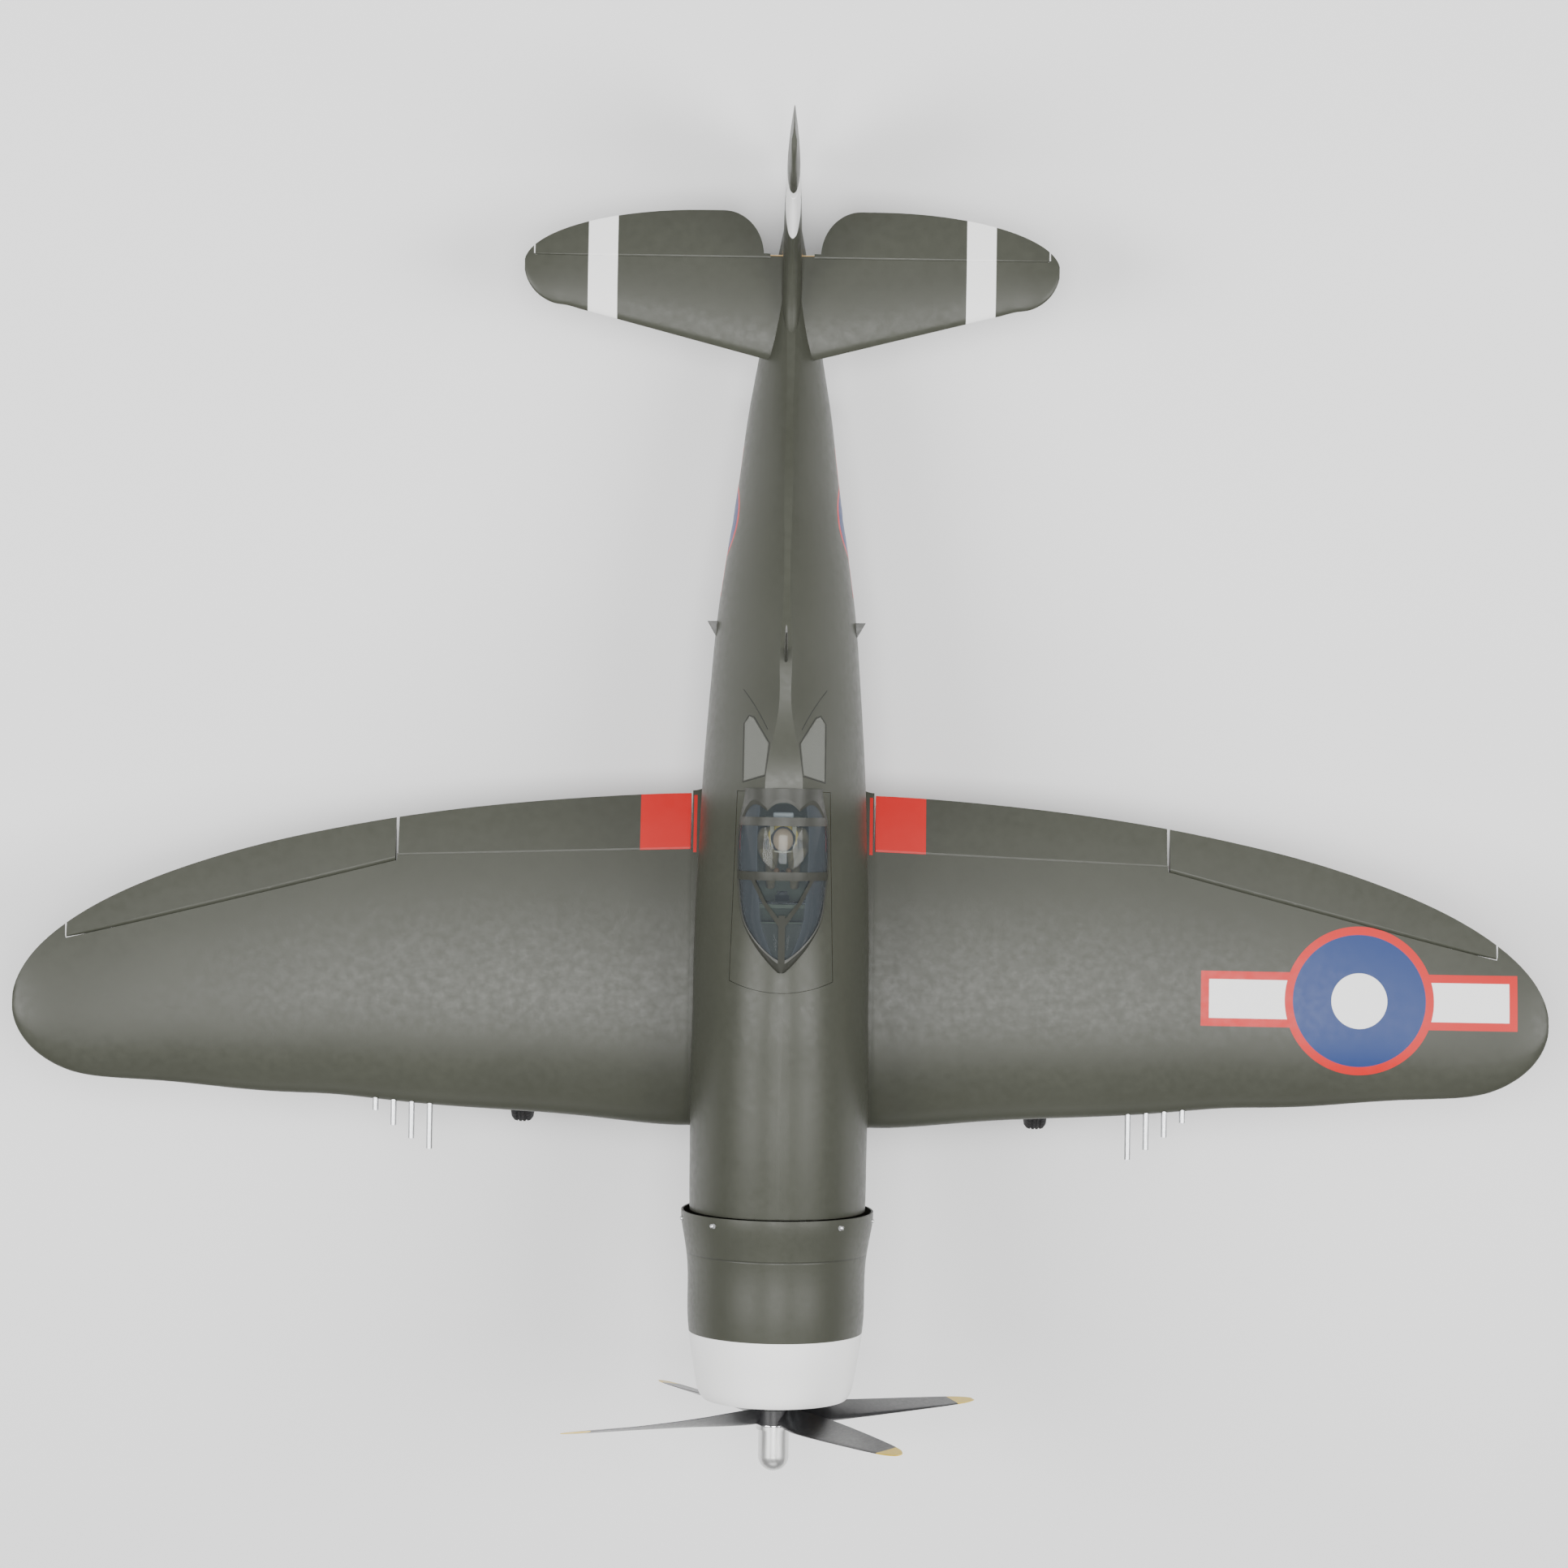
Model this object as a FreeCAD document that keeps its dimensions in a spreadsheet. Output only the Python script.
"""Radio-controlled warbird, 1700 mm span, for a 20 cc class electric motor.

Everything is modelled in the level flight frame: +X is the aircraft's left,
+Y runs aft, +Z is up and the thrust line is the Y axis.  At the end each
sub-part gets the placement that stands the aircraft on its three wheels,
with the origin on the ground under the middle of the bounding box.
"""
import FreeCAD, Part
import math
import os
from types import SimpleNamespace

import Sketcher
from FreeCAD import Placement, Rotation, Vector

SIZES = (
    # wing
    ("half_span", 850, "centre line to wing tip"),
    ("root_joint", 102, "wing panel joint from the centre line"),
    ("wing_lead_start", -393, "leading edge at the centre line"),
    ("wing_lead_slope", 0.0759, "leading edge sweep per mm of span"),
    ("wing_round_start", 740, "where the rounded tip begins"),
    ("wing_round_middle", -255, "fore and aft middle of the tip curve"),
    ("wing_round_depth", 82, "tip curve ahead of its middle"),
    ("wing_trail_depth", 245, "elliptical trailing edge behind its middle"),
    ("wing_base_height", -85, "chord line at the root"),
    ("dihedral", 5.4, "degrees"),
    ("wing_root_thickness", 0.145, "of the chord"),
    ("wing_tip_thickness", 0.11, "of the chord"),
    ("wing_camber", 0.02, "of the chord"),
    ("flap_front_in", -72, "flap front edge at the root"),
    ("flap_front_out", -84, "flap front edge at its outer end"),
    ("flap_end", 430, "where the flap ends and the aileron begins"),
    ("aileron_front_in", -87, "aileron hinge at its inner end"),
    ("aileron_front_out", -180, "aileron hinge at its outer end"),
    ("aileron_end", 793, "outer end of the aileron"),
    ("flap_gap", 0.5, "running gap of the flap nose"),
    ("aileron_gap", 1.8, "running gap of the aileron nose"),
    ("end_gap", 1.6, "gap at each end of a control surface"),
    ("tube_radius", 9.5, "wing joiner tube"),
    ("tube_wall", 1.2, "wing joiner tube wall"),
    ("tube_reach", 300, "joiner tube from the centre line"),
    ("tube_station", -205, "joiner tube along the fuselage"),
    ("tube_height", -70, "joiner tube"),
    # fuselage
    ("skin", 3, "fuselage wall"),
    ("deck_gap", 0.4, "gap round the hatch"),
    ("hatch_front", -225, "hatch front edge on the centre line"),
    ("hatch_rear", -8, "hatch rear edge"),
    ("hatch_half", 56, "hatch half width at the front"),
    ("hatch_half_rear", 50, "hatch half width at the back"),
    ("hatch_bow", 12, "how far the front edge bows forward"),
    ("cockpit_half", 42, "cockpit opening half width"),
    ("cockpit_half_front", 34, "cockpit opening half width at its front"),
    ("cockpit_shoulder", -112, "where the cockpit opening starts to narrow"),
    ("cockpit_front", -150, "cockpit opening front"),
    ("cockpit_rear", -13, "cockpit opening rear"),
    ("cockpit_floor", 58, "underside of the cockpit tub"),
    ("tub_wall", 1.5, "cockpit tub wall"),
    ("glass", 1.2, "canopy thickness"),
    ("frame_rise", 1.3, "canopy frames above the glass"),
    ("frame_half", 4.6, "half width of a canopy frame"),
    ("firewall_station", -452, "back face of the firewall"),
    ("firewall_thick", 6, "firewall"),
    # cowl and power
    ("crank_radius", 36, "dummy crankcase"),
    ("crank_nose", 17, "front of the dummy crankcase nose"),
    ("crank_back", -640, "back of the crankcase"),
    ("barrel_radius", 10, "cylinder barrel of the dummy radial"),
    ("barrel_reach", 76, "cylinder head from the crank axis"),
    ("barrel_plane", -655, "plane of the dummy cylinders"),
    ("fin_radius", 13, "cooling fin of a dummy cylinder"),
    ("can_radius", 29, "motor can"),
    ("can_length", 44, "motor can"),
    ("can_front", -632, "front of the motor can"),
    ("shaft_radius", 4, "propeller shaft"),
    ("prop_plane", -696, "propeller plane"),
    ("prop_radius", 262, "propeller"),
    ("prop_pitch", 254, "propeller advance per turn"),
    ("prop_hub_radius", 21, "propeller hub"),
    ("prop_hub_half", 8, "half thickness of the propeller hub"),
    ("prop_turn", 60, "degrees from level to the first blade"),
    ("dome_ring_radius", 19.5, "spinner ring"),
    ("dome_radius", 16.8, "spinner dome"),
    ("dome_ring", 6, "spinner ring thickness"),
    ("dome_length", 52, "spinner from the propeller hub to its tip"),
    # tail
    ("stab_half_span", 292, "tailplane"),
    ("stab_height", 45, "tailplane chord plane"),
    ("stab_lead_start", 455, "leading edge at the centre line"),
    ("stab_lead_slope", 0.256, "leading edge sweep"),
    ("stab_hinge", 574, "elevator hinge line"),
    ("stab_trail", 624, "elevator trailing edge"),
    ("stab_thickness", 0.095, "of the chord"),
    ("elevator_start", 24, "inner end of each elevator"),
    ("elevator_gap", 0.7, "running gap"),
    ("rudder_hinge", 628, "rudder hinge line"),
    ("rudder_cap", 185, "above this height the whole fin tip belongs to the rudder"),
    ("rudder_low", -36, "rudder foot"),
    ("fin_top", 262, "top of the fin"),
    ("rudder_gap", 0.8, "running gap"),
    ("joiner_radius", 2, "elevator joiner rod"),
    # linkages
    ("pin_radius", 1, "hinge pin"),
    ("pin_slack", 0.15, "hinge pin clearance"),
    ("bracket_thick", 2, "hinge plate"),
    ("bracket_reach", 9, "hinge plate ahead of the surface nose"),
    ("bracket_half", 1.4, "half height of a hinge plate's arm"),
    ("notch", 3.4, "slot in a surface for a hinge plate"),
    ("horn_arm", 16, "horn pin from the hinge, and the servo arm"),
    ("servo_ahead", 70, "servo shaft ahead of the hinge"),
    ("servo_rise", 7, "servo shaft above the lower skin"),
    ("servo_wide", 12, "servo case"),
    ("servo_long", 23, "servo case"),
    ("servo_deep", 21, "servo case"),
    ("cover_thick", 1, "servo cover"),
    ("link_pin", 0.8, "pushrod end pin"),
    ("link_bore", 0.95, "hole for a pushrod pin"),
    ("rod_radius", 1, "pushrod"),
    # main gear
    ("trunnion_out", 316, "retract trunnion from the centre line"),
    ("trunnion_station", -303, "retract trunnion"),
    ("trunnion_height", -75, "retract trunnion"),
    ("gear_rake", 14.9, "degrees the strut leans forward"),
    ("gear_length", 155.7, "trunnion to axle"),
    ("gear_tuck", 8, "degrees the retracted strut sweeps aft"),
    ("wheel_inset", 18.5, "wheel middle inboard of the strut"),
    ("tyre_radius", 54, "main tyre"),
    ("tyre_half", 13, "main tyre half width"),
    ("rim_radius", 31, "main wheel rim"),
    ("hub_half", 10, "main wheel hub half width"),
    ("axle_radius", 2.5, "main axle"),
    ("bearing_slack", 0.15, "wheel bore clearance"),
    ("strut_radius", 6.5, "strut cylinder"),
    ("strut_bore", 4.25, "bore of the strut cylinder"),
    ("piston_radius", 4, "oleo piston"),
    ("strut_end", 94, "trunnion to the mouth of the cylinder"),
    ("oleo_travel", 8, "oleo stroke"),
    ("door_near", 7.2, "door face from the strut axis"),
    ("door_thick", 1.6, "gear door"),
    ("well_radius", 57.5, "wheel well"),
    ("well_rise", 33.5, "wheel well ceiling above the retracted strut"),
    ("well_flare", 0.2, "forward slope of the well's wall where the tyre swings in"),
    # tail wheel
    ("tail_pivot", 415, "tail wheel steering pivot"),
    ("tail_axle", 430, "tail wheel axle"),
    ("tail_axle_height", -113, "tail wheel axle"),
    ("tail_tyre", 17, "tail wheel"),
    ("tail_tyre_half", 6, "tail wheel half width"),
    ("steer_radius", 2.5, "tail wheel steering post"),
)

DOC = FreeCAD.newDocument("warbird")
SHEET = DOC.addObject("Spreadsheet::Sheet", "Dims")
NODES = {}
ALONG_X = Vector(1, 0, 0)
ALONG_Y = Vector(0, 1, 0)
ALONG_Z = Vector(0, 0, 1)
FAR = 2000.0


def fill_sheet():
    """Write every size as a named cell and return them as plain numbers."""
    for row, (alias, value, note) in enumerate(SIZES, start=1):
        SHEET.set("A%d" % row, alias)
        SHEET.set("B%d" % row, str(value))
        SHEET.set("C%d" % row, note)
        SHEET.setAlias("B%d" % row, alias)
    DOC.recompute()
    return SimpleNamespace(**{alias: float(SHEET.get(alias)) for alias, _, _ in SIZES})


d = fill_sheet()


# ---------------------------------------------------------------- document helpers

def primitive(kind, name, place=None, **sizes):
    """Part primitive whose text sizes are formulas of the sheet's cells."""
    piece = DOC.addObject("Part::" + kind, name)
    for prop, size in sizes.items():
        if isinstance(size, str):
            piece.setExpression(prop, size)
        else:
            setattr(piece, prop, size)
    if place is not None:
        piece.Placement = place
    return piece


def rod(name, start, end, radius):
    """Round bar between two points."""
    run = end - start
    place = Placement(start, Rotation(ALONG_Z, run))
    return primitive("Cylinder", name, place, Radius=radius, Height=run.Length)


def cut(name, base, tool):
    piece = DOC.addObject("Part::Cut", name)
    piece.Base = base
    piece.Tool = tool
    return piece


def fuse(name, *pieces):
    piece = DOC.addObject("Part::MultiFuse", name)
    piece.Shapes = list(pieces)
    return piece


def mirrored(piece):
    """The same piece on the other side of the aircraft."""
    twin = DOC.addObject("Part::Mirroring", piece.Name + "_twin")
    twin.Source = piece
    twin.Base = (0, 0, 0)
    twin.Normal = (1, 0, 0)
    return twin


def free_form(name, shape):
    """Object for a lofted shape that no feature or primitive makes.

    Crumbs that a boolean leaves on a tangent edge are dropped.
    """
    piece = DOC.addObject("Part::Feature", name)
    solids = [solid for solid in shape.Solids if solid.Volume > 1]
    piece.Shape = solids[0] if len(solids) == 1 else Part.makeCompound(solids)
    return piece


def node(label, *pieces):
    """Sub-part of the aircraft: a group of separate solids with its own label."""
    group = DOC.addObject("Part::Compound", label)
    group.Label = label
    group.Links = list(pieces)
    NODES[label] = group
    return group


def base_plane(body, role):
    return [item for item in body.Origin.OriginFeatures if item.Role == role][0]


def cell_value(entry):
    """Number behind a cell name, which may carry a minus sign."""
    if not isinstance(entry, str):
        return float(entry)
    if entry.startswith("-"):
        return -getattr(d, entry[1:])
    return getattr(d, entry)


def bind(sketch, index, entry):
    """Tie a sketch constraint to its cell."""
    if not isinstance(entry, str):
        return
    sign = "-" if entry.startswith("-") else ""
    sketch.setExpression("Constraints[%d]" % index, sign + "Dims." + entry.lstrip("-"))


def profile(body, name, role, corners):
    """Closed polygon sketch whose corners are tied to the sheet's cells."""
    sketch = body.newObject("Sketcher::SketchObject", name)
    sketch.AttachmentSupport = [(base_plane(body, role), "")]
    sketch.MapMode = "FlatFace"
    points = [Vector(cell_value(a), cell_value(b), 0) for a, b in corners]
    count = len(points)
    sides = [Part.LineSegment(points[i], points[(i + 1) % count]) for i in range(count)]
    sketch.addGeometry(sides, False)
    for i in range(count):
        sketch.addConstraint(Sketcher.Constraint("Coincident", i, 2, (i + 1) % count, 1))
    for i, (a, b) in enumerate(corners):
        for kind, entry in (("DistanceX", a), ("DistanceY", b)):
            rule = Sketcher.Constraint(kind, -1, 1, i, 1, cell_value(entry))
            bind(sketch, sketch.addConstraint(rule), entry)
    return sketch


def turned(name, corners, place=None):
    """Body of revolution about its own Z axis from (radius, height) corners."""
    body = DOC.addObject("PartDesign::Body", name)
    sketch = profile(body, name + "_profile", "XZ_Plane", corners)
    turn = body.newObject("PartDesign::Revolution", name + "_turn")
    turn.Profile = sketch
    turn.ReferenceAxis = (sketch, ["V_Axis"])
    turn.Angle = 360
    if place is not None:
        body.Placement = place
    return body


def plate(name, corners, thickness, place=None):
    """Flat body padded from its own XY plane."""
    body = DOC.addObject("PartDesign::Body", name)
    sketch = profile(body, name + "_outline", "XY_Plane", corners)
    pad = body.newObject("PartDesign::Pad", name + "_pad")
    pad.Profile = sketch
    pad.setExpression("Length", thickness)
    if place is not None:
        body.Placement = place
    return body


# ---------------------------------------------------------------- shape helpers

def box_between(low, high):
    """Solid box from its lowest to its highest corner."""
    span = high - low
    return Part.makeBox(span.x, span.y, span.z, low)


def bar_between(start, end, radius):
    run = end - start
    return Part.makeCylinder(radius, run.Length, start, run)


def prism(corners, low, high):
    """Upright solid over a closed plan outline."""
    points = [Vector(x, y, low) for x, y in corners]
    wire = Part.makePolygon(points + [points[0]])
    return Part.Face(wire).extrude(Vector(0, 0, high - low))


def interpolated(points):
    """Smooth edge through the points."""
    curve = Part.BSplineCurve()
    curve.interpolate(points)
    return curve.toShape()


def half_thickness(share, ratio):
    """Half thickness of the standard four-digit section, per unit chord."""
    powers = 0.2969 * math.sqrt(share) - 0.126 * share - 0.3516 * share ** 2
    powers += 0.2843 * share ** 3 - 0.1015 * share ** 4
    return 5 * ratio * powers


def camber_line(share, camber, peak=0.4):
    """Mean line height of the standard four-digit section, per unit chord."""
    if share < peak:
        return camber * (2 * peak * share - share ** 2) / peak ** 2
    return camber * (1 - 2 * peak + 2 * peak * share - share ** 2) / (1 - peak) ** 2


EDGE_HALF = 0.35


def surface_offset(share, chord, ratio, camber, side):
    """Height of a surface over the chord line; side is +1 above, -1 below."""
    depth = half_thickness(share, ratio) * chord + EDGE_HALF * share
    return camber_line(share, camber) * chord + side * depth


def aerofoil(lead, trail, ratio, camber, place, steps=12):
    """Closed section wire; place turns (chordwise, offset) into a point."""
    chord = trail - lead
    shares = [(1 + math.cos(math.pi * i / steps)) / 2 for i in range(steps + 1)]
    upper = [(u, 1) for u in shares]
    lower = [(u, -1) for u in reversed(shares[:-1])]
    points = [place(lead + u * chord, surface_offset(u, chord, ratio, camber, side))
              for u, side in upper + lower]
    return Part.Wire([interpolated(points), Part.makeLine(points[-1], points[0])])


def round_end(offset, reach):
    """Elliptical fall-off from 1 at the middle to 0 at its end."""
    return math.sqrt(max(0.0, 1 - (offset / reach) ** 2))


def spindle(start, end, radii):
    """Solid turned about the line from start to end, with evenly spaced radii."""
    length = (end - start).Length
    run = (end - start).normalize()
    out = run.cross(ALONG_Z if abs(run.x) > 0.5 else ALONG_X).normalize()
    steps = len(radii) - 1
    rim = [start + run * (length * i / steps) + out * radius for i, radius in enumerate(radii)]
    edges = [Part.makeLine(start, rim[0]), interpolated(rim), Part.makeLine(rim[-1], end),
             Part.makeLine(end, start)]
    return Part.Face(Part.Wire(edges)).revolve(start, run, 360)


# ---------------------------------------------------------------- wing geometry

def wing_lead(x):
    straight = d.wing_lead_start + d.wing_lead_slope * min(x, d.wing_round_start)
    if x <= d.wing_round_start:
        return straight
    reach = d.half_span - d.wing_round_start
    return d.wing_round_middle - d.wing_round_depth * round_end(x - d.wing_round_start, reach)


def wing_trail(x):
    return d.wing_round_middle + d.wing_trail_depth * round_end(x, d.half_span)


def wing_ratio(x):
    share = (x - d.root_joint) / (d.half_span - d.root_joint)
    return d.wing_root_thickness + share * (d.wing_tip_thickness - d.wing_root_thickness)


def wing_chord_height(x):
    return d.wing_base_height + (x - d.root_joint) * math.tan(math.radians(d.dihedral))


def wing_skin(x, y, side):
    """Height of the wing surface; side is +1 above and -1 below."""
    lead, trail = wing_lead(x), wing_trail(x)
    share = (y - lead) / (trail - lead)
    offset = surface_offset(share, trail - lead, wing_ratio(x), d.wing_camber, side)
    return wing_chord_height(x) + offset


def wing_section(x):
    height = wing_chord_height(x)
    return aerofoil(wing_lead(x), wing_trail(x), wing_ratio(x), d.wing_camber,
                    lambda y, z: Vector(x, y, height + z))


WING_STATIONS = (102, 200, 320, 430, 540, 640, 720, 780, 815, 835, 845, 849.3)


def wing_loft():
    return Part.makeLoft([wing_section(x) for x in WING_STATIONS], True)


# ---------------------------------------------------------------- control surfaces

class Hinge:
    """Straight hinge line of a surface, from its inner end to its outer end."""

    def __init__(self, start, end, upper, lower, gap):
        self.start = start
        self.end = end
        self.upper = upper
        self.lower = lower
        self.gap = gap

    def at(self, share):
        return self.start + (self.end - self.start) * share

    def direction(self):
        return (self.end - self.start).normalize()

    def nose_radii(self, steps=6):
        """Largest radius that stays under the skin at even stations."""
        points = [self.at(i / steps) for i in range(steps + 1)]
        return [max(self.upper(p), self.lower(p)) for p in points]

    def frame(self, share):
        """Local frame on the hinge: X along it, Y aft, Z up."""
        along = self.direction()
        return Placement(self.at(share), Rotation(along, Vector(), ALONG_Z, "XZY"))


def wing_share(hinge, x):
    return (x - hinge.start.x) / (hinge.end.x - hinge.start.x)


def aileron_hinge():
    def middle(x, y):
        return (wing_skin(x, y, 1) + wing_skin(x, y, -1)) / 2
    inner, outer = d.flap_end, d.aileron_end
    start = Vector(inner, d.aileron_front_in, middle(inner, d.aileron_front_in))
    end = Vector(outer, d.aileron_front_out, middle(outer, d.aileron_front_out))
    return Hinge(start, end, lambda p: wing_skin(p.x, p.y, 1) - p.z,
                 lambda p: p.z - wing_skin(p.x, p.y, -1), d.aileron_gap)


def flap_hinge():
    inner, outer = d.root_joint, d.flap_end
    start = Vector(inner, d.flap_front_in, wing_skin(inner, d.flap_front_in, -1))
    end = Vector(outer, d.flap_front_out, wing_skin(outer, d.flap_front_out, -1))
    return Hinge(start, end, lambda p: wing_skin(p.x, p.y, 1) - p.z,
                 lambda p: 0.0, d.flap_gap)


SKIN_LIP = 0.25


def nose(hinge, grow):
    """Round nose of a surface about its hinge; the cove is the same, grown."""
    return spindle(hinge.start, hinge.end, [r + grow for r in hinge.nose_radii()])


def behind(hinge, low, high):
    """Everything aft of an upright plane through the hinge line."""
    run = hinge.direction()
    start = hinge.start - run * 40
    end = hinge.end + run * 40
    corners = [(start.x, start.y), (end.x, end.y), (end.x, FAR), (start.x, FAR)]
    return prism(corners, low, high)


def split_wing(loft, hinge, inner, outer):
    """Return the moving surface and the solid to take out of the wing."""
    low, high = -300, 300
    slab = box_between(Vector(inner + d.end_gap, -FAR, low),
                       Vector(outer - d.end_gap, FAR, high))
    clear = box_between(Vector(inner - SKIN_LIP, -FAR, low),
                        Vector(outer + SKIN_LIP, FAR, high))
    aft = behind(hinge, low, high)
    moving = loft.common(aft.fuse(nose(hinge, -SKIN_LIP))).common(slab)
    taken = aft.fuse(nose(hinge, hinge.gap)).common(clear)
    return moving, taken


def hinge_set(hinge, shares, radius, up, down):
    """Plates for the fixed side, pins and notches for the moving side.

    A notch is a wedge ahead of the hinge, as wide as the plate swings in the
    surface's own frame, so the skin over it stays whole.
    """
    plates, pins, notches = [], [], []
    half = d.bracket_thick / 2
    for share in shares:
        place = hinge.frame(share)
        disc = Part.makeCylinder(radius, 2 * half, Vector(-half, 0, 0), ALONG_X)
        ahead = max(hinge.nose_radii()) + d.bracket_reach
        arm = box_between(Vector(-half, -ahead, -d.bracket_half), Vector(half, 0, d.bracket_half))
        bore = Part.makeCylinder(d.pin_radius + d.pin_slack, FAR, Vector(-FAR / 2, 0, 0), ALONG_X)
        pin = Part.makeCylinder(d.pin_radius, 2 * d.notch, Vector(-d.notch, 0, 0), ALONG_X)
        reach = max(hinge.nose_radii()) + hinge.gap + 1
        rise, fall = (d.bracket_half + 0.4 + reach * math.tan(math.radians(turn))
                      for turn in (up, down))
        room = radius + 0.4
        corners = [Vector(-d.notch / 2, y, z) for y, z in (
            (room, room), (0, room), (-room, max(room, rise * room / reach)), (-reach, rise),
            (-reach, -fall), (-room, -max(room, fall * room / reach)), (0, -room),
            (room, -room), (room, room))]
        notch = Part.Face(Part.makePolygon(corners)).extrude(Vector(d.notch, 0, 0))
        plates.append(disc.fuse(arm).cut(bore))
        pins.append(pin)
        notches.append(notch)
        for part in (plates[-1], pins[-1], notches[-1]):
            part.Placement = place
    return plates, pins, notches


# ---------------------------------------------------------------- fuselage

# station, half width, top, keel, widest height, ridge half width, side power
BODY_STATIONS = (
    (-470, 97, 92, -137, -14, 2, 1.0),
    (-428, 97.7, 95.8, -140.8, -14, 2, 1.0),
    (-380, 98, 99, -144, -14, 2, 1.0),
    (-300, 98, 103, -147, -14, 2, 1.0),
    (-223, 97, 106, -150, -14, 2, 1.05),
    (-150, 96, 112, -150, -12, 3, 1.2),
    (-98, 94, 122, -150, -10, 5, 1.45),
    (-50, 92, 137, -147, -8, 12, 1.8),
    (0, 90, 148, -143, -6, 20, 2.1),
    (50, 87, 142, -137, -5, 12, 2.1),
    (104, 83, 136, -130, -4, 6, 2.1),
    (194, 75, 122, -115, -2, 4, 2.0),
    (284, 62, 106, -99, 0, 4, 1.9),
    (373, 50, 88, -83, 1, 4, 1.8),
    (440, 40, 74, -70, 2, 4, 1.7),
    (520, 27, 60, -53, 4, 4, 1.6),
    (598, 12, 52, -36, 8, 4, 1.5),
    (619, 8.5, 50, -33, 8, 3, 1.3),
)


def body_ring(station, inset=0.0, steps=7):
    """Closed fuselage section: two sides and the flat ridge between them."""
    y, half, top, keel, widest, ridge, power = station
    half, top, keel = half - inset, top - inset, keel + inset
    ridge = max(1.0, ridge - inset / 2)
    side = []
    for i in range(steps + 1):
        turn = math.radians(90 - 90 * i / steps)
        x = half * math.cos(turn)
        side.append(Vector(x if i else 0, y, widest - (widest - keel) * math.sin(turn)))
    for i in range(1, steps + 1):
        turn = math.radians(90 * i / steps)
        x = ridge + (half - ridge) * abs(math.cos(turn)) ** power
        side.append(Vector(x if i < steps else ridge, y, widest + (top - widest) * math.sin(turn)))
    right = interpolated(side)
    left = right.mirror(Vector(), ALONG_X)
    across = Part.makeLine(side[-1], Vector(-side[-1].x, y, side[-1].z))
    return Part.Wire([right, across, left])


def body_loft(inset=0.0, last=None):
    """Solid through the fuselage sections, moved in from the skin by inset."""
    return Part.makeLoft([body_ring(row, inset) for row in BODY_STATIONS[:last]], True)


def hatch_prism(gap, low=40, high=260):
    """Upright solid over the hatch outline, pulled in by a gap."""
    front, bow = d.hatch_front + gap, d.hatch_bow
    wide, narrow = d.hatch_half - gap, d.hatch_half_rear - gap
    rear = d.hatch_rear - gap
    arc = Part.Arc(Vector(-wide, front + bow, low), Vector(0, front, low),
                   Vector(wide, front + bow, low)).toShape()
    corners = [Vector(wide, front + bow, low), Vector(narrow, rear, low),
               Vector(-narrow, rear, low), Vector(-wide, front + bow, low)]
    wire = Part.Wire([arc] + Part.makePolygon(corners).Edges)
    return Part.Face(wire).extrude(Vector(0, 0, high - low))


def fin_lead(z):
    line_height, slope, round_start = 90, 0.64, 190
    if z > round_start:
        return 665 - 45 * round_end(z - round_start, d.fin_top - round_start)
    fillet = 58 * max(0.0, (105 - max(z, 62)) / 43) ** 2
    return 556 + (max(z, 62) - line_height) * slope - fillet


def fin_trail(z):
    middle = 110
    reach = d.fin_top + 0.4 - middle if z > middle else 165
    return 665 + 56 * round_end(z - middle, reach)


FIN_THICKNESS = ((-40, 22), (62, 21), (130, 16), (215, 12.5), (264, 5))


def fin_thickness(z):
    for (low, thick), (high, thin) in zip(FIN_THICKNESS, FIN_THICKNESS[1:]):
        if z <= high:
            return thick + (thin - thick) * (z - low) / (high - low)
    return FIN_THICKNESS[-1][1]


def fin_section(z):
    chord = fin_trail(z) - fin_lead(z)
    ratio = fin_thickness(z) / chord
    return aerofoil(fin_lead(z), fin_trail(z), ratio, 0.0, lambda y, x: Vector(x, y, z))


def fin_half(y, z):
    chord = fin_trail(z) - fin_lead(z)
    share = (y - fin_lead(z)) / chord
    return surface_offset(share, chord, fin_thickness(z) / chord, 0.0, 1)


FIN_HEIGHTS = (-36, -12, 12, 36, 60, 72, 84, 96, 108, 130, 155, 180, 200, 218, 233, 245, 253,
               258, 261)


def rudder_hinge():
    start = Vector(0, d.rudder_hinge, d.rudder_low)
    end = Vector(0, d.rudder_hinge, d.rudder_cap)
    return Hinge(start, end, lambda p: fin_half(p.y, p.z), lambda p: 0.0, d.rudder_gap)


def make_fin_and_rudder():
    """Fin ahead of the hinge line and the full height rudder behind it."""
    hinge = rudder_hinge()
    loft = Part.makeLoft([fin_section(z) for z in FIN_HEIGHTS], True)
    aft = box_between(Vector(-100, d.rudder_hinge, -100), Vector(100, FAR, 400))
    cap = box_between(Vector(-100, 0, d.rudder_cap), Vector(100, FAR, 400))
    cap_gap = box_between(Vector(-100, 0, d.rudder_cap - d.end_gap), Vector(100, FAR, 400))
    rudder = loft.common(aft.fuse([nose(hinge, -SKIN_LIP), cap]))
    fin = loft.cut([aft, nose(hinge, hinge.gap), cap_gap])
    return fin, rudder, hinge


def stab_lead(x):
    turn_start, reach, middle, depth = 245, 47, 563, 45
    if x <= turn_start:
        return d.stab_lead_start + d.stab_lead_slope * x
    return middle - depth * round_end(x - turn_start, reach)


def stab_trail(x):
    straight, middle = 95, 563
    if x <= straight:
        return d.stab_trail
    return middle + (d.stab_trail - middle) * round_end(x - straight, d.stab_half_span - straight)


def stab_half_depth(x, y):
    chord = stab_trail(x) - stab_lead(x)
    return surface_offset((y - stab_lead(x)) / chord, chord, d.stab_thickness, 0.0, 1)


def stab_section(x):
    return aerofoil(stab_lead(x), stab_trail(x), d.stab_thickness, 0.0,
                    lambda y, z: Vector(x, y, d.stab_height + z))


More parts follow.
